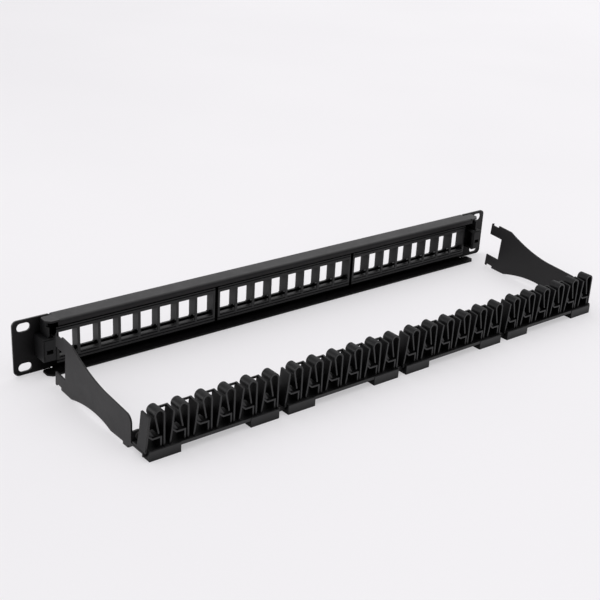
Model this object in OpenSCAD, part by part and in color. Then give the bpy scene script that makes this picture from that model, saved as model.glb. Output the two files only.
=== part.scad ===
// 19-inch, one-unit patch panel for snap-in jacks, with a hook-on rear cable bar.
// Origin: centre of the rear face of the mounting ears. The ports face -Y, the cables
// leave towards +Y, +Z is up. "left" is the -X end, seen from the front.

/* [Front plate] */
// Overall width over the two mounting ears
ear_span = 482.6; // [470:0.1:490]
// Height of the mounting ears
ear_h = 43.4; // [42:0.1:44]
// Height over the two folded flanges
body_h = 43.8; // [43.6:0.1:44.4]
// Thickness of the sheet steel
sheet_t = 1.5; // [1.2:0.1:1.6]
// Distance from the front face to the rear edge of the flanges
flange_d = 15; // [14:0.5:16]
// Height of the lip folded down from the top flange
lip_h = 4.4; // [4:0.1:5]
// Outside radius of the sheet bends
bend_r = 2.2; // [1.8:0.1:2.4]
// Distance between the mounting slots across the rack
slot_pitch_x = 465.1; // [463:0.1:467]
// Distance between the upper and lower mounting slots
slot_pitch_z = 31.75; // [31.7:0.05:31.8]
// End-to-end length of a mounting slot
slot_len = 10.5; // [9:0.1:12]
// Width of a mounting slot
slot_w = 6.8; // [6.3:0.1:7.1]
// Corner radius of the ears
ear_r = 4; // [2:0.5:5]

/* [Port frames] */
// Distance between port centres
port_pitch = 17.1; // [17:0.05:17.2]
// Width of a jack opening
port_w = 14.9; // [14.5:0.1:15.2]
// Top of a jack opening at the front
port_top = 7.7; // [7:0.1:8]
// Bottom of a jack opening at the front
port_bottom = -9.2; // [-9.4:0.1:-8.8]
// Distance between the centres of neighbouring frames
frame_pitch = 141.4; // [141:0.1:142]
// Distance from the ear plane to the rear face of a frame
frame_d = 7; // [6.8:0.1:7.5]

/* [Latch blocks] */
// Distance from the middle of the panel to the middle of a latch block
block_x = 219.6; // [219:0.1:220]
// Width of a latch block
block_w = 10; // [9:0.1:10.2]
// Height of a latch block
block_h = 17.6; // [16:0.1:17.8]
// Distance from the ears to the rear face of a latch block
block_d = 14; // [13:0.1:14.2]

/* [Rear cable bar] */
// Distance from the panel ears to the notch of the unhooked arms
arm_out = 42.3; // [42:0.1:60]
// Slope of the hook heads against the cable bar, in degrees
hook_tilt = 4.5; // [4:0.1:5]
// Clear height of the notch between the two prongs
notch_h = 20.6; // [20.4:0.1:21]
// Depth of the notch
notch_d = 14.2; // [14:0.1:14.4]
// Distance between the inner faces of the two arms
arm_gap = 442.2; // [442:0.1:442.6]
// Thickness of an arm
arm_t = 1.2; // [1:0.1:1.4]
// Distance from the arm notch to the rear edge of the arm
arm_len = 89.2; // [88:0.1:90]
// Thickness of the bar's sheet steel
bar_t = 1.2; // [1:0.1:1.2]

/* [Cable clips] */
// Distance between neighbouring clip modules
module_pitch = 112; // [111.5:0.1:114]
// Distance between neighbouring clips
clip_pitch = 18.25; // [18:0.05:18.4]
// Length of a clip along the cable
clip_d = 10; // [9:0.1:10.5]
// Thickness of the clip walls
clip_wall = 1.3; // [1.1:0.1:1.5]
// Outside radius of the arch over each cable channel
arch_r = 4.1; // [3.9:0.1:4.3]
// Height of the arch's top over the module's base
arch_h = 27.3; // [26.5:0.1:27.8]

/* [Hidden] */
$fn = 48;
eps = 0.02;                             // overlap of solids that form one piece
steel = [0.13, 0.125, 0.13];
plastic = [0.05, 0.05, 0.055];

// Front plate, derived
front_y = -sheet_t;                     // front face of the sheet
rear_y = front_y + flange_d;            // rear edge of the flanges
flange_x = 212;                         // half length of the bends
tab_x = 220.7;                          // half length of the flange tabs, inside the arms
relief_y = 2.4;                         // cut between an ear and a flange tab
tab_cut = 3.4;                          // chamfer on a flange tab, at the rear
tab_nip = 1.4;                          // and beside the ear
relief_r = 0.9;                         // round relief at the end of a bend

// Port frames, derived
frames = 3;
ports = 8;
port_span = (ports - 1) * port_pitch + port_w;
frame_w = port_span + 4;
frame_top = 13.2;
frame_bottom = -15.6;
frame_clear = 0.15;                     // gap between a frame and its window
bezel_t = 1.2;                          // bezel thickness in front of the sheet
bezel_lap = 1.1;                        // bezel overlap onto the sheet
bezel_y = front_y - bezel_t;
flare = 0.7;                            // widening of a jack opening at the bezel's face
flare_y = -1.5;                         // rear end of that widening
rear_top = 8.8;                         // top of a jack opening at the rear
ledge_y = 3.5;                          // front of the lower retaining ledge
ledge_z = -9.85;                        // top of the lower retaining ledge
ledge_t = 1;                            // height of its rear edge, over a recess
pocket_z = -12.4;                       // bottom of the pocket before the ledge
catch_y = 0.4;                          // rear face of the wall behind the bezel
wall_cut = [[1.2, -7.8], [5.8, -5.5]];    // front and rear top corner of the cut in a wall
groove_z = [-13.2, 12];                 // top of the lower and the upper groove
groove_h = 0.7;
groove_d = 0.7;
label_z0 = 8.6;
label_z1 = 13.4;
label_w = port_span;
label_cover_t = 0.7;
label_card_t = 0.3;
label_gap = 0.1;
label_back = front_y + 0.1;             // rear wall of the label pocket
pin_end = front_y + 2;                  // rear end of a cover's pins
snap_w = 8;                             // snap tooth that holds a frame in its window
snap_h = 0.8;
snap_l = 2.6;
snap_y = 0.15;                          // front of a snap tooth, behind the sheet
snap_tip = 0.1;                         // height left at its rear end
snaps = 4;
pin_r = 1.1;                            // pin in a snap-held label cover

// Latch blocks, derived
block_top = 8.9;
block_bottom = block_top - block_h;
block_y = 0.1;                          // front of the block
block_wall = 1.6;
rib_x = 219.15;
rib_t = 1.4;
rib_top = 20.2;
rim_in = 1;                             // raised rim on the rear face
rim_t = 0.5;
rib_foot = [12.2, 17.2];                // rear end and top of the rib's lower step
rib_head_y = 10;                        // rear end of its upper step
catch_x = [0.9, 1.6];                   // catch on the top corner: outwards and inwards
catch_len = [3, 0.4];                   // its front and rear end, before the rear face
catch_rise = [1.4, 1.2];                // its bottom and top, from the block's top
hollow_front = 2.4;                     // wall before the hollow
hollow_rear = 1.8;                      // wall behind the hollow
hole_w = 5;                             // window in the rear face
hole_h = 3.2;
hole_z = -1.3;
stud_r = 2;
stud_clear = 0.12;
stud_z = 5;
stud_head_r = 3;
stud_head_t = 0.8;

cover_pin_x = label_w / 2 - 3;           // pins of the label covers
cover_pin_z = (label_z0 + label_z1) / 2;

// Cable bar, derived
arm_in_x = arm_gap / 2;
arm_out_x = arm_in_x + arm_t;
head_half = 21.4;                       // half height of the hook head
head_q = -0.9;                          // middle of the hook head
notch_q = -1;                           // middle of the notch
tooth_q = 0.8;                          // rise of the ramp on a snap tooth
tooth_p = 1.6;                          // length of that ramp
tooth_round = 0.4;
recess_q = 2.1;                         // depth of the recess behind a tooth
recess_p = 7;                           // length of that recess
kink_p = 9.2;                           // where the head ends and the arm narrows
kink_half = 21.1;
kink_q = -0.72;
arm_rear_y = arm_out + arm_len;
arm_rear_top = 2.8;
arm_rear_bottom = -20.3;
arm_corner = 6;
waist_top = [80, 5.8];                  // pull of the curve along the top
shank_top = [103, 4.6];                 // where that curve ends
waist_bottom = [82, -13.2];
shank_bottom = [105, -20.8];
sweep_steps = 12;
web_y = arm_rear_y - bar_t;             // front face of the bar's web
web_top = -9;
rail_z = -16.8;                         // top of the rail floor
rail_rear = 146.5;
rail_x = arm_out_x;                     // half length of the rail floor
rail_in_x = arm_in_x - 0.3;             // half length between the arms
rail_lip_z = -20.2;
lug_y0 = 121;                           // lug under the arm that rests on a table
lug_y1 = 127.4;
lug_z = -22.5;
lug_len = 6;
tab_len = 15;                           // arm tab that lies on the web
tab_z0 = -16.2;
tab_z1 = -9.6;
rivet_r = 1.6;
rivet_clear = 0.06;
rivet_head_r = 2.9;
rivet_head_t = 0.9;
rivet_z = -12.9;
rivet_x = [arm_in_x - 5, arm_in_x - 11.5];

// Clip modules, derived
modules = 4;
clips = 6;
sink = 0.5;                             // how far the clips run into the base
base_z = -15;                           // top of a module's base
clip_y = 138.5;                         // front end of the clips
base_y = 133;                           // front edge of a module's base
base_rear = 148.7;
band_y = rail_rear + 0.1;               // thick rear edge of the base, behind the rail's lip
band_t = 3.7;
band_z = -17.4;
foot_t = 4;                             // the feet stand out behind that edge
foot_len = 24;
foot_z = -22.5;
foot_step = 0.4;                        // step from the top of the base to a foot
foot_hook = 5;                          // how far a foot reaches in under the lip
foot_gap = 0.1;
end_inset = 2;                          // band and feet stop short of the base
module_len = 108;
module_x0 = (modules - 1) / 2 * module_pitch + module_len / 2;
first_wall_u = 2.1;                     // first wall, from the end of a module
junction_h = 10.2;                      // where the wall meets the cable saddle
wall_h = 24.2;                          // height of a clip wall at its front end
wall_drop = 1;                          // the wall's top falls this much to the rear
wall_foot_u = -1.6;
wall_top_u = 1.5;                       // the wall leans over the cable
wall_lip_u = 0.3;                       // lip on top of a clip wall
wall_lip_h = 1.2;
saddle_h = 7.2;
saddle_u = 3.6;
box_u = 9.9;                            // right-hand wall under the saddle
arch_u = 8.9;
arch_c = arch_h - arch_r;
tongue_u = 8.2;                         // free end of the springy tongue
tongue_h = 10;
gusset_h = 16.4;
gusset_u = 5.6;
gusset_in = 1.2;                        // the gusset stops short of the rear face
bar_h = 1.3;
bar_d = 1.3;
bar_drop = 0.1;
peg_r = 1.5;
peg_l = 1.9;
peg_clear = 0.1;
peg_inset = 30;

// ---------------------------------------------------------------- shared shapes

// Wall of a given thickness between two points, with ends cut at right angles
module strip(a, b, t) {
    len = norm(b - a);
    ang = atan2(b[1] - a[1], b[0] - a[0]);
    translate(a) rotate(ang) translate([0, -t / 2]) square([len, t]);
}

// Rectangle with two opposite sides at given places
module span(x0, x1, z0, z1) {
    translate([x0, z0]) square([x1 - x0, z1 - z0]);
}

// Box from its low to its high corner
module block(lo, hi) {
    translate(lo) cube(hi - lo);
}

// Extrudes a shape drawn in Y and Z along X, from x0 to x1
module along_x(x0, x1) {
    translate([x0, 0, 0]) rotate([90, 0, 90]) linear_extrude(x1 - x0) children();
}

// Extrudes a shape drawn in X and Z along Y, from y0 to y1
module along_y(y0, y1) {
    translate([0, y1, 0]) rotate([90, 0, 0]) linear_extrude(y1 - y0) children();
}

// Quarter ring of a sheet bend, in the quadrant given by sx and sz
module bend(sx, sz, t) {
    intersection() {
        difference() {
            circle(bend_r);
            circle(bend_r - t);
        }
        translate([sx < 0 ? -bend_r : 0, sz < 0 ? -bend_r : 0]) square(bend_r);
    }
}

// Cylinder along Y
module rod_y(r, y0, y1) {
    translate([0, y1, 0]) rotate([90, 0, 0]) cylinder(r = r, h = y1 - y0);
}

// ------------------------------------------------------------------ front plate

module plate_outline() {
    hx = ear_span / 2;
    hz = ear_h / 2;
    span(-hx + ear_r, hx - ear_r, -hz, hz);
    span(-hx, hx, -hz + ear_r, hz - ear_r);
    for (sx = [-1, 1], sz = [-1, 1])
        translate([sx * (hx - ear_r), sz * (hz - ear_r)]) circle(ear_r);
}

module mounting_slot() {
    travel = (slot_len - slot_w) / 2;
    for (sx = [-1, 1])
        translate([sx * travel, 0, 0]) rod_y(slot_w / 2, front_y - 1, 1);
    block([-travel, front_y - 1, -slot_w / 2], [travel, 1, slot_w / 2]);
}

// Folded flange in section; s is +1 for the top and -1 for the bottom
module flange_section(s) {
    z_out = s * body_h / 2;
    z_in = z_out - s * sheet_t;
    cz = z_out - s * bend_r;
    translate([front_y + bend_r, cz]) bend(-1, s, sheet_t);
    lip_end = s > 0 ? rear_y - bend_r : rear_y;
    span(front_y + bend_r - eps, lip_end, min(z_in, z_out), max(z_in, z_out));
    span(front_y, front_y + sheet_t, min(0, cz), max(0, cz));
    if (s > 0) {
        translate([rear_y - bend_r, cz]) bend(1, 1, sheet_t);
        span(rear_y - sheet_t, rear_y, z_out - lip_h, cz + eps);
    }
}

// Tab at each end of a flange, free of the ear and chamfered
module flange_tabs(s) {
    z0 = min(s * body_h / 2, s * (body_h / 2 - sheet_t));
    for (m = [0, 1]) mirror([m, 0, 0]) translate([0, 0, z0]) linear_extrude(sheet_t)
        polygon([[flange_x - 1, relief_y], [tab_x - tab_nip, relief_y],
            [tab_x, relief_y + tab_nip], [tab_x, rear_y - tab_cut],
            [tab_x - tab_cut, rear_y], [flange_x - 1, rear_y]]);
}

module front_plate() color(steel) difference() {
    union() {
        along_y(front_y, 0) plate_outline();
        along_x(-flange_x, flange_x) {
            flange_section(1);
            flange_section(-1);
        }
        flange_tabs(1);
        flange_tabs(-1);
    }
    for (sx = [-1, 1], sz = [-1, 1])
        translate([sx * slot_pitch_x / 2, 0, sz * slot_pitch_z / 2]) mounting_slot();
    for (i = [0 : frames - 1])
        translate([frame_x(i), 0, 0])
            block([-frame_w / 2 - frame_clear, front_y - 1, frame_bottom - frame_clear],
                [frame_w / 2 + frame_clear, 1, frame_top + frame_clear]);
    for (sx = [-1, 1], sz = [-1, 1])
        translate([sx * block_x, 0, sz * stud_z]) rod_y(stud_r + stud_clear, front_y - 1, 1);
    // Reliefs beside the ends of the bends
    for (sx = [-1, 1], sz = [-1, 1])
        translate([sx * flange_x, 0, sz * body_h / 2])
            rod_y(relief_r, front_y - 1, relief_y);
}

// ------------------------------------------------------------------ port frames

function frame_x(i) = (i - (frames - 1) / 2) * frame_pitch;
function port_x(i) = (i - (ports - 1) / 2) * port_pitch;

// Opening for one jack: straight at the front, deeper behind the front wall
module port_opening() {
    w = port_w / 2;
    along_x(-w, w) {
        span(bezel_y - 1, frame_d + 1, port_bottom, port_top);
        span(catch_y, frame_d + 1, port_bottom, rear_top);
        span(catch_y, ledge_y, pocket_z, 0);
        // Recess under the ledge's rear edge
        span(frame_d - groove_d, frame_d + 1, ledge_z - ledge_t - groove_h, ledge_z - ledge_t);
        // Widening at the front, below and at both sides
        polygon([[flare_y, port_bottom], [bezel_y - 1, port_bottom], [bezel_y - 1, port_bottom - flare],
            [bezel_y, port_bottom - flare]]);
    }
    translate([0, 0, port_bottom]) linear_extrude(port_top - port_bottom)
        polygon([[-w - flare, bezel_y], [-w - flare, bezel_y - 1], [w + flare, bezel_y - 1],
            [w + flare, bezel_y], [w, flare_y], [-w, flare_y]]);
    // The ledge is lower than the front sill, so the space over it is open
    block([-w, ledge_y - eps, ledge_z], [w, frame_d + 1, 0]);
}

module label_pocket() {
    block([-label_w / 2, bezel_y - 1, label_z0], [label_w / 2, label_back, label_z1]);
}

module port_frame(i) translate([frame_x(i), 0, 0]) color(plastic) {
    difference() {
        union() {
            block([-frame_w / 2, front_y - eps, frame_bottom], [frame_w / 2, frame_d, frame_top]);
            block([-frame_w / 2 - bezel_lap, bezel_y, frame_bottom - bezel_lap],
                [frame_w / 2 + bezel_lap, front_y, frame_top + bezel_lap]);
            for (k = [0 : snaps - 1], s = [-1, 1]) snap_tooth(k, s);
        }
        for (k = [0 : ports - 1]) translate([port_x(k), 0, 0]) port_opening();
        // Cut through the foot of the walls between the ports
        along_x(-port_span / 2 - 1, port_span / 2 + 1)
            polygon([[wall_cut[0][0], pocket_z], wall_cut[0], wall_cut[1], [wall_cut[1][0], ledge_z],
                [ledge_y, ledge_z], [ledge_y, pocket_z]]);
        // Grooves along the rear face
        for (z = groove_z) block([-frame_w / 2 - 1, frame_d - groove_d, z - groove_h],
            [frame_w / 2 + 1, frame_d + 1, z]);
        label_pocket();
        for (s = [-1, 1]) translate([s * cover_pin_x, 0, cover_pin_z])
            rod_y(pin_r + label_gap, front_y - 1, pin_end + 2 * label_gap);
    }
}

// Wedge that snaps behind the sheet; s is +1 on the top and -1 on the bottom edge
module snap_tooth(k, s) {
    x = (k - (snaps - 1) / 2) * 2 * port_pitch;
    z = s > 0 ? frame_top : frame_bottom;
    along_x(x - snap_w / 2, x + snap_w / 2)
        polygon([[snap_y, z - s], [snap_y, z + s * snap_h], [snap_y + snap_l, z + s * snap_tip],
            [snap_y + snap_l, z - s]]);
}

module label_card(i) translate([frame_x(i), 0, 0]) color("white") {
    y1 = label_back;
    difference() {
        block([-label_w / 2 + label_gap, y1 - label_card_t, label_z0 + label_gap],
            [label_w / 2 - label_gap, y1, label_z1 - label_gap]);
        for (s = [-1, 1]) translate([s * cover_pin_x, 0, cover_pin_z])
            rod_y(pin_r + 2 * label_gap, front_y - 1, front_y + 1);
    }
}

module label_cover(i) translate([frame_x(i), 0, 0]) color([0.8, 0.85, 0.88, 0.4]) {
    y1 = label_back - label_card_t;
    block([-label_w / 2 + label_gap, y1 - label_cover_t, label_z0 + label_gap],
        [label_w / 2 - label_gap, y1, label_z1 - label_gap]);
    for (s = [-1, 1]) translate([s * cover_pin_x, 0, cover_pin_z])
        rod_y(pin_r, y1 - eps, pin_end);
}

// ----------------------------------------------------------------- latch blocks

// Block that the arm's notch rides over, drawn for the right-hand (+X) end
module latch_block() color(plastic) {
    x0 = block_x - block_w / 2;
    x1 = block_x + block_w / 2;
    difference() {
        union() {
            block([x0, block_y, block_bottom], [x1, block_d, block_top]);
            // Raised rim round the rear face
            block([x0 + rim_in, block_d - eps, block_bottom + rim_in],
                [x1 - rim_in, block_d + rim_t, block_top - rim_in]);
            // Rib that stands up to the top flange
            for (end = [rib_foot, [rib_head_y, rib_top]])
                block([rib_x - rib_t / 2, block_y, block_top - rim_in],
                    [rib_x + rib_t / 2, end[0], end[1]]);
            // Catch on the inner top corner
            block([x0 - catch_x[0], block_d - catch_len[0], block_top - catch_rise[0]],
                [x0 + catch_x[1], block_d - catch_len[1], block_top + catch_rise[1]]);
        }
        // Hollow, open towards the middle of the panel
        block([x0 - 2, block_y + hollow_front, block_bottom + block_wall],
            [x1 - block_wall, block_d - hollow_rear, block_top - block_wall]);
        // Window in the rear face
        block([block_x - hole_w / 2, block_d - 3, hole_z - hole_h / 2],
            [block_x + hole_w / 2, block_d + 1, hole_z + hole_h / 2]);
    }
    for (s = [-1, 1]) translate([block_x, 0, s * stud_z]) {
        rod_y(stud_r, front_y - eps, block_y + eps);
        rod_y(stud_head_r, front_y - stud_head_t, front_y);
    }
}

// -------------------------------------------------------------- rear cable bar

// Point of the hook head: p runs to the rear, q up, both from the notch floor
function head_pt(p, q) = [
    arm_out + p * cos(hook_tilt) + q * sin(hook_tilt),
    -p * sin(hook_tilt) + q * cos(hook_tilt)];

// Quadratic curve from a to c, pulled towards b
function sweep(a, b, c) = [for (i = [0 : sweep_steps])
    let (t = i / sweep_steps)
    (1 - t) * (1 - t) * a + 2 * t * (1 - t) * b + t * t * c];

// Round corner of radius r, centre c, from angle a0 to a1
function corner(c, r, a0, a1) = [for (i = [0 : 6])
    let (a = a0 + (a1 - a0) * i / 6) c + r * [cos(a), sin(a)]];

// One edge of the head, from the prong's front to the kink; s is +1 for the upper one
function head_edge(s) = [
    head_pt(0, notch_q + s * notch_h / 2),
    head_pt(-notch_d, notch_q + s * notch_h / 2),
    head_pt(-notch_d, head_q + s * (head_half - tooth_q)),
    head_pt(-notch_d + tooth_p, head_q + s * head_half),
    head_pt(-notch_d + tooth_p + tooth_round, head_q + s * (head_half - recess_q)),
    head_pt(-notch_d + tooth_p + recess_p, head_q + s * (head_half - recess_q)),
    head_pt(-notch_d + tooth_p + recess_p, head_q + s * head_half),
    head_pt(kink_p, kink_q + s * kink_half)];

function reverse(v) = [for (i = [len(v) - 1 : -1 : 0]) v[i]];

module arm_profile() {
    top = sweep(head_pt(kink_p, kink_q + kink_half), waist_top, shank_top);
    bottom = sweep(head_pt(kink_p, kink_q - kink_half), waist_bottom, shank_bottom);
    rear_c = [arm_rear_y - arm_corner, arm_rear_top - arm_corner];
    polygon(concat(
        head_edge(1), top,
        corner(rear_c, arm_corner, 90, 0),
        [[arm_rear_y, arm_rear_bottom + 1], [arm_rear_y - 1, arm_rear_bottom]],
        reverse(bottom), reverse(head_edge(-1))));
}

// Arm, drawn for the right-hand (+X) end
module arm() color(steel) {
    along_x(arm_in_x, arm_out_x) arm_profile();
    block([arm_out_x - lug_len, lug_y0, lug_z], [arm_out_x - eps, lug_y1, lug_z + arm_t]);
    block([arm_in_x, lug_y0, lug_z], [arm_out_x - eps, lug_y1, arm_rear_bottom]);
    difference() {
        block([arm_in_x - tab_len, web_y - arm_t, tab_z0], [arm_in_x + eps, web_y, tab_z1]);
        for (x = rivet_x) translate([x, 0, rivet_z])
            rod_y(rivet_r + rivet_clear, web_y - arm_t - 1, web_y + 1);
    }
}

module clip_rail() color(steel) difference() {
    union() {
        block([-rail_in_x, web_y, rail_z - bar_t], [rail_in_x, web_y + bar_t, web_top]);
        block([-rail_in_x, web_y, rail_z - bar_t], [rail_in_x, rail_rear, rail_z]);
        block([-rail_x, arm_rear_y + 0.3, rail_z - bar_t], [rail_x, rail_rear, rail_z]);
        block([-rail_x, rail_rear - bar_t, rail_lip_z], [rail_x, rail_rear, rail_z]);
    }
    for (s = [-1, 1], x = rivet_x) translate([s * x, 0, rivet_z])
        rod_y(rivet_r + rivet_clear, web_y - 1, web_y + bar_t + 1);
    for (i = [0 : modules - 1]) translate([module_x(i), 0, 0]) peg_positions()
        translate([0, 0, rail_z - bar_t - 1]) cylinder(r = peg_r + peg_clear, h = bar_t + 2);
}

module bar_rivets() color("gray") for (s = [-1, 1], x = rivet_x)
    translate([s * x, 0, rivet_z]) {
        y0 = web_y - arm_t;
        y1 = web_y + bar_t;
        rod_y(rivet_r, y0 - eps, y1 + eps);
        rod_y(rivet_head_r, y0 - rivet_head_t, y0);
        rod_y(rivet_head_r, y1, y1 + rivet_head_t);
    }

// ----------------------------------------------------------------- clip modules

// High-X end of module i; its clips are laid out from there towards -X
function module_x(i) = module_x0 - i * module_pitch;

module peg_positions() {
    for (u = [peg_inset, module_len - peg_inset])
        translate([-u, (clip_y + rail_rear) / 2, 0]) children();
}

// Section of one clip: u along the bar from its wall, h over the base
module wall_section() {
    t = clip_wall / 2;
    top = wall_top_u;
    polygon([[wall_foot_u - t, -sink], [-t, junction_h], [top - t, wall_h],
        [top + t + wall_lip_u, wall_h], [top + t + wall_lip_u, wall_h - wall_lip_h / 2],
        [top + t, wall_h - wall_lip_h], [t, junction_h], [wall_foot_u + t, -sink]]);
}

// Saddle that carries the cable, with the hollow box under it
module saddle_section() {
    t = clip_wall / 2;
    polygon([[0, junction_h - t], [0, junction_h + t], [saddle_u, saddle_h + t],
        [box_u + t, saddle_h + t], [box_u + t, -sink], [box_u - t, -sink],
        [box_u - t, saddle_h - t], [saddle_u - t / 2, saddle_h - t]]);
}

// Loop over the channel: springy tongue, arch and outer leg
module loop_section() {
    t = clip_wall / 2;
    difference() {
        union() {
            translate([arch_u, arch_c]) circle(arch_r);
            polygon([[arch_u - arch_r, arch_c], [tongue_u - t, tongue_h], [tongue_u + t, tongue_h],
                [tongue_u + t, arch_c]]);
            span(arch_u, arch_u + arch_r, -sink, arch_c);
        }
        translate([arch_u, arch_c]) circle(arch_r - clip_wall);
        polygon([[arch_u - arch_r + clip_wall, arch_c], [tongue_u + t, tongue_h - 1],
            [tongue_u + t, -1], [arch_u + arch_r - clip_wall, -1],
            [arch_u + arch_r - clip_wall, arch_c]]);
    }
}

module gusset_section() {
    polygon([[0, gusset_h], [gusset_u, saddle_h + 0.5], [gusset_u, saddle_h], [0, saddle_h + 2]]);
}

// Thin bar at the front of the clips that ties an arch to the next wall
module tie_bar_section() {
    z = wall_h - bar_h - bar_drop;
    span(arch_u + arch_r - 0.8, clip_pitch + wall_top_u, z, z + bar_h);
}

module clip_module(i) translate([module_x(i), 0, base_z]) mirror([1, 0, 0]) color(plastic) {
    difference() {
        for (k = [0 : clips - 1]) translate([first_wall_u + k * clip_pitch, 0, 0])
            along_y(clip_y, clip_y + clip_d) wall_section();
        // The top of every wall slopes down to the rear
        along_x(-1, module_len) polygon([[clip_y, wall_h], [clip_y + clip_d + 1, wall_h - wall_drop],
            [clip_y + clip_d + 1, wall_h + 1], [clip_y, wall_h + 1]]);
    }
    for (k = [0 : clips - 1]) translate([first_wall_u + k * clip_pitch, 0, 0]) {
        along_y(clip_y, clip_y + clip_d) {
            saddle_section();
            loop_section();
        }
        along_y(clip_y + gusset_in, clip_y + clip_d - gusset_in) gusset_section();
        if (k < clips - 1) along_y(clip_y, clip_y + bar_d) tie_bar_section();
    }
    block([0, base_y, rail_z - base_z], [module_len, base_rear, 0]);
    block([end_inset, band_y, band_z - base_z],
        [module_len - end_inset, band_y + band_t, 0]);
    for (u = [end_inset, module_len - end_inset - foot_len]) {
        block([u, band_y, foot_z - base_z], [u + foot_len, band_y + foot_t, -foot_step]);
        block([u, band_y - foot_hook, foot_z - base_z],
            [u + foot_len, band_y + 1, rail_lip_z - foot_gap - base_z]);
    }
    mirror([1, 0, 0]) peg_positions() translate([0, 0, rail_z - base_z - peg_l])
        cylinder(r = peg_r, h = peg_l + 0.4);
}

front_plate();
port_frame(0);  // port_frame_1
port_frame(1);  // port_frame_2
port_frame(2);  // port_frame_3
label_card(0);  // label_card_1
label_card(1);  // label_card_2
label_card(2);  // label_card_3
label_cover(0);  // label_cover_1
label_cover(1);  // label_cover_2
label_cover(2);  // label_cover_3
mirror([1, 0, 0]) latch_block();  // latch_block_left
latch_block();  // latch_block_right
mirror([1, 0, 0]) arm();  // arm_left
arm();  // arm_right
clip_rail();
bar_rivets();
clip_module(3);  // clip_module_1
clip_module(2);  // clip_module_2
clip_module(1);  // clip_module_3
clip_module(0);  // clip_module_4
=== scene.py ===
import bpy
import math
from mathutils import Vector, Matrix


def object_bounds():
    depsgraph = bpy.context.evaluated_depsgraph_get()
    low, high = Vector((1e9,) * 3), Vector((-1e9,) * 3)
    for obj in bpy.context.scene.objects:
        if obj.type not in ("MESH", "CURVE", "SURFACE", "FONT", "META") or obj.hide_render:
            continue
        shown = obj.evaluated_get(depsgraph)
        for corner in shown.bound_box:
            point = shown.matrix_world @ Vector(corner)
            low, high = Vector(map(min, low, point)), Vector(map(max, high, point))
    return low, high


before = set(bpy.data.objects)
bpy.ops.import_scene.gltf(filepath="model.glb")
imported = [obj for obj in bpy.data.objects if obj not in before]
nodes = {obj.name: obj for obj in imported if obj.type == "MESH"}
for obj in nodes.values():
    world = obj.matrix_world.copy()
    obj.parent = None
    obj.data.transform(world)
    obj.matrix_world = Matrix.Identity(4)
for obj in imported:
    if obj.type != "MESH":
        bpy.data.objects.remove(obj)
cad_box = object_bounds()

scene = bpy.context.scene
scene.view_settings.view_transform = "Standard"
scene.view_settings.look = "None"
scene.view_settings.exposure = 0.0
scene.view_settings.gamma = 1.0

# Lengths are in metres, noise scales in cells per metre and colours are linear RGB.
# +X is the photo's left, +Y is the rear of the panel, where the photo was taken from, and +Z is up.


# ------------------------------------------------------------------ node helpers
FULL = (0.0, 1.0)           # range of a mask
MIDDLE = (0.35, 0.65)       # where most values of a noise lie
WIDE_MIDDLE = (0.3, 0.7)


def new_material(name):
    """An empty material with its shader joined to the output."""
    m = bpy.data.materials.new(name)
    m.use_nodes = True
    t = m.node_tree
    t.nodes.clear()
    out = t.nodes.new("ShaderNodeOutputMaterial")
    bsdf = t.nodes.new("ShaderNodeBsdfPrincipled")
    t.links.new(bsdf.outputs["BSDF"], out.inputs["Surface"])
    return m, t, bsdf


def object_space(t):
    """Coordinates in the object's own space."""
    return t.nodes.new("ShaderNodeTexCoord").outputs["Object"]


def noise(t, coord, scale, detail=3.0, rough=0.5, stretch=None):
    """Noise; the factors in stretch squeeze it along each axis."""
    n = t.nodes.new("ShaderNodeTexNoise")
    n.inputs["Scale"].default_value = scale
    n.inputs["Detail"].default_value = detail
    n.inputs["Roughness"].default_value = rough
    if stretch:
        mp = t.nodes.new("ShaderNodeMapping")
        mp.inputs["Scale"].default_value = stretch
        t.links.new(coord, mp.inputs["Vector"])
        coord = mp.outputs["Vector"]
    t.links.new(coord, n.inputs["Vector"])
    return n.outputs["Fac"]


def remap(t, value, source, target):
    """Value moved from the source range to the target range, and held inside it."""
    r = t.nodes.new("ShaderNodeMapRange")
    r.inputs["From Min"].default_value, r.inputs["From Max"].default_value = source
    r.inputs["To Min"].default_value, r.inputs["To Max"].default_value = target
    t.links.new(value, r.inputs["Value"])
    return r.outputs["Result"]


def mix_color(t, fac, a, b):
    """Colour a where fac is 0 and b where it is 1; each is a tuple or an output."""
    n = t.nodes.new("ShaderNodeMix")
    n.data_type = "RGBA"
    fac_in, a_in, b_in, color_out = n.inputs[0], n.inputs[6], n.inputs[7], n.outputs[2]
    t.links.new(fac, fac_in)
    for sock, v in ((a_in, a), (b_in, b)):
        if isinstance(v, tuple):
            sock.default_value = (*v, 1.0)
        else:
            t.links.new(v, sock)
    return color_out


def math_node(t, op, a, b):
    """Result of op on a and b; each is a number or an output."""
    n = t.nodes.new("ShaderNodeMath")
    n.operation = op
    for sock, v in zip(n.inputs, (a, b)):
        if isinstance(v, float):
            sock.default_value = v
        else:
            t.links.new(v, sock)
    return n.outputs[0]


def split_xyz(t, vector):
    """The X, Y and Z outputs of a vector."""
    n = t.nodes.new("ShaderNodeSeparateXYZ")
    t.links.new(vector, n.inputs["Vector"])
    return n.outputs


def bump(t, height, depth, normal=None):
    """Normal of a surface with this relief, on top of another normal if one is given."""
    n = t.nodes.new("ShaderNodeBump")
    n.inputs["Strength"].default_value = 1.0
    n.inputs["Distance"].default_value = depth
    t.links.new(height, n.inputs["Height"])
    if normal:
        t.links.new(normal, n.inputs["Normal"])
    return n.outputs["Normal"]


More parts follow.
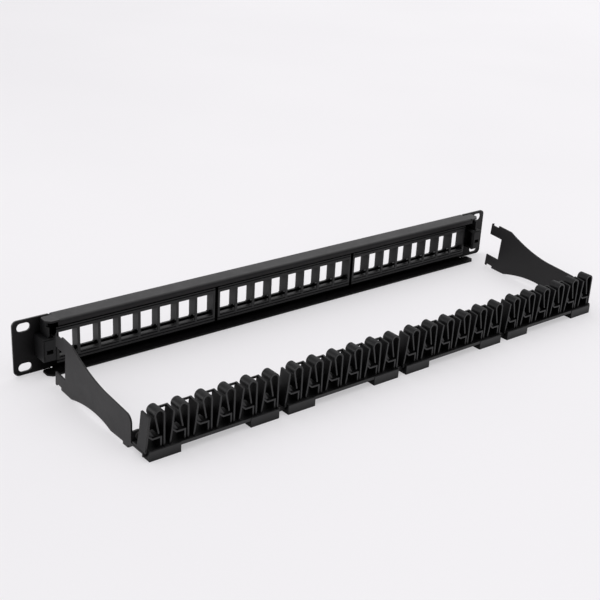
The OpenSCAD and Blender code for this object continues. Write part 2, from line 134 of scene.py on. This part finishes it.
# ------------------------------------------------------------------ black finishes, with painted shade
MOTTLE_SCALE = 18.0                     # cloudy changes of tone
ROUGH_SCALE = 3.1 * MOTTLE_SCALE        # changes of roughness
SPECK_SCALE = 0.6                       # specks, as a share of the grain's scale
SPECK_LIFT = 1.9                        # their colour against the lighter tone
SPECK_NOISE = (0.30, 0.72)              # noise values from the darkest to the lightest speck
SPECK_COVER = (-0.25, 0.35)             # and how much they show; under 0 there is none
LUMP_SCALE = 0.22                       # lumps under the grain, as a share of its scale
LUMP_HEIGHT = 1.4                       # and their height against the grain's
DUST_SCALE = 240.0
DUST_COLOR = (0.32, 0.31, 0.30)
DUST_NOISE = (0.50, 0.80)               # noise values from no dust to a full patch
DUSTY_UP = (0.4, 1.0)                   # upward part of the normal, from no dust to full dust
SHADE_UP = (0.0, 0.8)                    # the same, from no painted shade to the full top share
SHADE_SIDE = (0.3, 0.95)                 # part of the normal towards +X, up to the full side share of painted shade
CREVICE_OPEN = (0.30, 0.90)             # AO values from the deepest painted corner shade to a free face
CREVICE_SAMPLES = 8
EDGE_RADIUS = 0.00025                   # roundness that the corners seem to have
EDGE_SAMPLES = 4


def mottled_color(t, co, dark, light, grain):
    """Cloudy tone between two colours, with lighter specks about as fine as the grain."""
    cloud = remap(t, noise(t, co, MOTTLE_SCALE, detail=4.0, rough=0.6), MIDDLE, FULL)
    color = mix_color(t, cloud, dark, light)
    speck = remap(t, noise(t, co, grain * SPECK_SCALE, detail=2.0), SPECK_NOISE, SPECK_COVER)
    return mix_color(t, speck, color, tuple(c * SPECK_LIFT for c in light))


def dusted(t, co, facing, color, amount):
    """A little dust, in patches, on faces that look up."""
    on_top = remap(t, facing["Z"], DUSTY_UP, FULL)
    patches = remap(t, noise(t, co, DUST_SCALE, detail=5.0, rough=0.7), DUST_NOISE, FULL)
    cover = math_node(t, "MULTIPLY", on_top, patches)
    return mix_color(t, math_node(t, "MULTIPLY", cover, amount), color, DUST_COLOR)


def painted_gloss_by_facing(t, facing, specular, top_shade, side_shade):
    """Gloss with painted light: less of it on faces that look up and on faces that look towards +X,
    as painted shade; more of it on top where that share is below 0, as a painted highlight.
    """
    gloss = remap(t, facing["Z"], SHADE_UP, (specular, specular * (1.0 - top_shade)))
    beside = remap(t, facing["X"], SHADE_SIDE, (1.0, 1.0 - side_shade))
    return math_node(t, "MULTIPLY", gloss, beside)


def corner_shade_mask(t, reach, least):
    """Mask of painted corner shade: 1 in the open, falling to least where other faces stand close,
    within reach.
    """
    ao = t.nodes.new("ShaderNodeAmbientOcclusion")
    ao.samples = CREVICE_SAMPLES
    ao.inputs["Distance"].default_value = reach
    return remap(t, ao.outputs["AO"], CREVICE_OPEN, (least, 1.0))


def grain_normal(t, co, grain, depth):
    """Fine grain over coarser lumps; corners catch the light as if slightly rounded."""
    fine = noise(t, co, grain, detail=3.0, rough=0.55)
    lumps = noise(t, co, grain * LUMP_SCALE, detail=2.0)
    height = math_node(t, "ADD", fine, math_node(t, "MULTIPLY", lumps, LUMP_HEIGHT))
    edge = t.nodes.new("ShaderNodeBevel")
    edge.samples = EDGE_SAMPLES
    edge.inputs["Radius"].default_value = EDGE_RADIUS
    return bump(t, height, depth, edge.outputs["Normal"])


def black_finish_and_painted_shade(name, tones, rough, rough_var, grain, grain_depth,
                 specular=0.5, dust=0.0, crevice_shade=None, top_shade=0.0, side_shade=0.0):
    """Dark coating or moulding: grained, mottled in tone and uneven in gloss, with painted shade
    darkening its corners and recesses.

    The crevice shade argument is the reach of that painted shade and the share of gloss and tone
    that is left in the deepest corners.
    The top and side shares are painted light on the gloss: the share lost on top and towards +X;
    below 0 it gains, a painted highlight."""
    m, t, b = new_material(name)
    co = object_space(t)
    facing = split_xyz(t, t.nodes.new("ShaderNodeNewGeometry").outputs["Normal"])
    dark, light = tones
    color = mottled_color(t, co, dark, light, grain)
    if dust:
        color = dusted(t, co, facing, color, dust)
    # painted light: gloss dimmed or raised by which way a face looks
    gloss = painted_gloss_by_facing(t, facing, specular, top_shade, side_shade)
    # painted shade: an AO mask darkens tone and gloss in corners and recesses
    if crevice_shade:
        reach, least = crevice_shade
        unshaded = corner_shade_mask(t, reach, least)
        gloss = math_node(t, "MULTIPLY", gloss, unshaded)
        color = mix_color(t, unshaded, tuple(c * least for c in dark), color)
    uneven = noise(t, co, ROUGH_SCALE, detail=5.0, rough=0.65)
    roughness = remap(t, uneven, WIDE_MIDDLE, (rough - rough_var, rough + rough_var))
    t.links.new(color, b.inputs["Base Color"])
    t.links.new(gloss, b.inputs["Specular IOR Level"])
    t.links.new(roughness, b.inputs["Roughness"])
    t.links.new(grain_normal(t, co, grain, grain_depth), b.inputs["Normal"])
    return m


STEEL = ((0.0085, 0.0080, 0.0085), (0.012, 0.0113, 0.012))
RIVET = ((0.035, 0.034, 0.034), (0.055, 0.053, 0.052))
PLASTIC = ((0.006, 0.006, 0.0065), (0.009, 0.009, 0.0095))

panel_steel = black_finish_and_painted_shade(
    "panel_steel", STEEL, rough=0.44, rough_var=0.05, grain=2600.0, grain_depth=0.000020,
    specular=0.21, dust=0.06, crevice_shade=(0.045, 0.15), top_shade=-0.95)
bar_steel = black_finish_and_painted_shade(
    "bar_steel", STEEL, rough=0.46, rough_var=0.05, grain=2600.0, grain_depth=0.000020,
    specular=0.24, dust=0.06)
rivet_steel = black_finish_and_painted_shade(
    "rivet_steel", RIVET, rough=0.38, rough_var=0.08, grain=3400.0, grain_depth=0.000015)
frame_plastic = black_finish_and_painted_shade(
    "frame_plastic", PLASTIC, rough=0.42, rough_var=0.06, grain=3200.0, grain_depth=0.000015,
    specular=0.38, dust=0.05, crevice_shade=(0.014, 0.15), side_shade=0.42)
block_plastic = black_finish_and_painted_shade(
    "block_plastic", PLASTIC, rough=0.50, rough_var=0.05, grain=3200.0, grain_depth=0.000020,
    specular=0.25, dust=0.05, crevice_shade=(0.010, 0.3))
clip_plastic = black_finish_and_painted_shade(
    "clip_plastic", PLASTIC, rough=0.42, rough_var=0.06, grain=3000.0, grain_depth=0.000018,
    specular=0.50, dust=0.05, crevice_shade=(0.011, 0.14), top_shade=0.7, side_shade=0.5)


# ------------------------------------------------------------------ labels
PAPER_TONES = ((0.80, 0.79, 0.75), (0.88, 0.87, 0.84))
PAPER_ROUGH = 0.85
FIBRE_SCALE, FIBRE_DEPTH = 900.0, 0.00003
FIBRE_ALONG = (1.0, 1.0, 3.0)           # squeezed in height, so that the fibres lie along the strip
CLEAR_TINT = (0.93, 0.96, 0.97, 1.0)
CLEAR_COVER = (0.10, 0.22)              # how much the sheet hides, from its clear to its hazy spots
CLEAR_ROUGH = (0.03, 0.12)              # and its roughness there
CLEAR_IOR = 1.49
HAZE_SCALE = 60.0
SCRATCH_SCALE, SCRATCH_DEPTH = 500.0, 0.000008
SCRATCH_ALONG = (0.1, 1.0, 1.0)         # drawn out along the strip


def paper(name):
    """White card with a little fibre."""
    m, t, b = new_material(name)
    co = object_space(t)
    fibre_noise = noise(t, co, FIBRE_SCALE, detail=6.0, rough=0.7, stretch=FIBRE_ALONG)
    fibre = remap(t, fibre_noise, MIDDLE, FULL)
    t.links.new(mix_color(t, fibre, *PAPER_TONES), b.inputs["Base Color"])
    b.inputs["Roughness"].default_value = PAPER_ROUGH
    t.links.new(bump(t, fibre, FIBRE_DEPTH), b.inputs["Normal"])
    return m


def clear_plastic(name):
    """Thin clear sheet, see-through rather than refracting, so light reaches the card behind it."""
    m, t, b = new_material(name)
    co = object_space(t)
    haze = noise(t, co, HAZE_SCALE, detail=4.0, rough=0.6)
    b.inputs["Base Color"].default_value = CLEAR_TINT
    t.links.new(remap(t, haze, WIDE_MIDDLE, CLEAR_COVER), b.inputs["Alpha"])
    t.links.new(remap(t, haze, WIDE_MIDDLE, CLEAR_ROUGH), b.inputs["Roughness"])
    b.inputs["IOR"].default_value = CLEAR_IOR
    scratches = noise(t, co, SCRATCH_SCALE, detail=2.0, stretch=SCRATCH_ALONG)
    t.links.new(bump(t, scratches, SCRATCH_DEPTH), b.inputs["Normal"])
    return m


label_paper = paper("label_paper")
cover_clear = clear_plastic("clear_plastic")


# ------------------------------------------------------------------ pieces
LOOKS = {                   # by how a node's name starts
    "front_plate": panel_steel,
    "port_frame": frame_plastic,
    "label_card": label_paper,
    "label_cover": cover_clear,
    "latch_block": block_plastic,
    "arm": bar_steel,
    "clip_rail": bar_steel,
    "bar_rivets": rivet_steel,
    "clip_module": clip_plastic,
}


def look_of(name):
    """The material of the node with this name."""
    return next(look for start, look in LOOKS.items() if name.startswith(start))


for name, ob in nodes.items():
    ob.data.materials.clear()
    ob.data.materials.append(look_of(name))


# ------------------------------------------------------------------ table
TABLE_SIZE = 40.0
TABLE_TONES = ((0.43, 0.422, 0.432), (0.46, 0.452, 0.461))
TABLE_GLOW = (0.41, 0.475)              # the table's own light, left and right in the photo's view
TABLE_GLOW_COLOR = (0.992, 0.982, 1.0, 1.0)
GLOW_ACROSS = (-0.6, 0.6)               # where the two glows are reached
PHOTO_RIGHT = (-0.772, 0.636, 0.0)      # the photo's rightward direction on the table
CLOUD_SCALE = 1.3
TABLE_ROUGH, TABLE_GLOSS = 0.9, 0.1


def table_paint_and_glow():
    """Matt pale paint with a glow of its own, more to the right, which keeps the shadows pale."""
    m, t, b = new_material("floor_paint_and_glow")
    co = object_space(t)
    cloud = remap(t, noise(t, co, CLOUD_SCALE), MIDDLE, FULL)
    t.links.new(mix_color(t, cloud, *TABLE_TONES), b.inputs["Base Color"])
    across = t.nodes.new("ShaderNodeVectorMath")
    across.operation = "DOT_PRODUCT"
    across.inputs[1].default_value = PHOTO_RIGHT
    t.links.new(co, across.inputs[0])
    glow = remap(t, across.outputs["Value"], GLOW_ACROSS, TABLE_GLOW)
    t.links.new(glow, b.inputs["Emission Strength"])
    b.inputs["Emission Color"].default_value = TABLE_GLOW_COLOR
    b.inputs["Roughness"].default_value = TABLE_ROUGH
    b.inputs["Specular IOR Level"].default_value = TABLE_GLOSS
    return m


floor_z = cad_box[0][2]
bpy.ops.mesh.primitive_plane_add(size=TABLE_SIZE, location=(0.0, 0.0, floor_z))
floor = bpy.context.active_object
floor.name = "floor"
floor.data.materials.append(table_paint_and_glow())


# ------------------------------------------------------------------ light
ROOM_BASE = 0.62            # brightness of the room all round
ROOM_TOP = 0.95             # more of it straight above
ROOM_LEFT = 0.4             # and towards +X
ROOM_REAR = 0.35            # what is left of it towards +Y
ROOM_LEVEL = 0.98           # level of the whole
TOP_RISE = (0.15, 0.95)     # upward part of a direction, from no extra light to all of it
LEFT_RISE = (0.1, 1.0)      # the same towards +X
REAR_FALL = (-0.2, 0.8)     # part towards +Y, from full light to ROOM_REAR
ROOM_COLOR = (0.992, 0.985, 1.0, 1.0)
GLOSS_BOX_AT = (0.95, -0.55, 0.22)
GLOSS_BOX_TARGET = (0.22, 0.09, 0.0)
GLOSS_BOX_SIZE = (0.8, 0.5)
GLOSS_BOX_POWER = 3.6       # watts


def light_room():
    """Soft light from all round, as in a photo tent."""
    world = bpy.data.worlds.new("studio")
    scene.world = world
    world.use_nodes = True
    t = world.node_tree
    towards = split_xyz(t, t.nodes.new("ShaderNodeTexCoord").outputs["Generated"])
    from_top = remap(t, towards["Z"], TOP_RISE, (0.0, ROOM_TOP))
    from_left = remap(t, towards["X"], LEFT_RISE, (0.0, ROOM_LEFT))
    at_rear = remap(t, towards["Y"], REAR_FALL, (1.0, ROOM_REAR))
    glow = math_node(t, "ADD", math_node(t, "ADD", from_top, from_left), ROOM_BASE)
    glow = math_node(t, "MULTIPLY", math_node(t, "MULTIPLY", glow, at_rear), ROOM_LEVEL)
    background = t.nodes["Background"]
    t.links.new(glow, background.inputs["Strength"])
    background.inputs["Color"].default_value = ROOM_COLOR


def gloss_box():
    """Rectangular light that shows only as gloss, so that the pale table hardly changes."""
    light = bpy.data.lights.new("side_gloss", "AREA")
    light.shape = "RECTANGLE"
    light.size, light.size_y = GLOSS_BOX_SIZE
    light.energy = GLOSS_BOX_POWER
    ob = bpy.data.objects.new("side_gloss", light)
    ob.location = GLOSS_BOX_AT
    aim = Vector(GLOSS_BOX_TARGET) - Vector(GLOSS_BOX_AT)
    ob.rotation_euler = aim.to_track_quat("-Z", "Y").to_euler()
    ob.visible_diffuse = False
    scene.collection.objects.link(ob)


light_room()
gloss_box()


# ------------------------------------------------------------------ camera
CAMERA_AT = (0.5454, 0.6876, 0.3676)
AZIMUTH = math.radians(39.4713)         # way the camera looks, turned from -Y towards -X
DROP = math.radians(23.5874)            # and how far below the horizon
ROLL = math.radians(3.1660)
LENS, SENSOR = 68.2212, 36.0            # focal length and width of the sensor, millimetres
NEAREST, FARTHEST = 0.01, 100.0         # what the camera can see


def photo_camera():
    """The photo's viewpoint, from behind, above and to the +X side."""
    level = math.cos(DROP)
    ahead = Vector((-math.sin(AZIMUTH) * level, -math.cos(AZIMUTH) * level, -math.sin(DROP)))
    right = Vector((-math.cos(AZIMUTH), math.sin(AZIMUTH), 0.0))
    up = right.cross(ahead)
    rolled_right = math.cos(ROLL) * right + math.sin(ROLL) * up
    rolled_up = -math.sin(ROLL) * right + math.cos(ROLL) * up
    data = bpy.data.cameras.new("camera")
    data.sensor_width = SENSOR
    data.lens = LENS
    data.clip_start, data.clip_end = NEAREST, FARTHEST
    cam = bpy.data.objects.new("camera", data)
    scene.collection.objects.link(cam)
    turn = Matrix((rolled_right, rolled_up, -ahead)).transposed().to_4x4()
    cam.matrix_world = Matrix.Translation(CAMERA_AT) @ turn
    return cam


scene.camera = photo_camera()
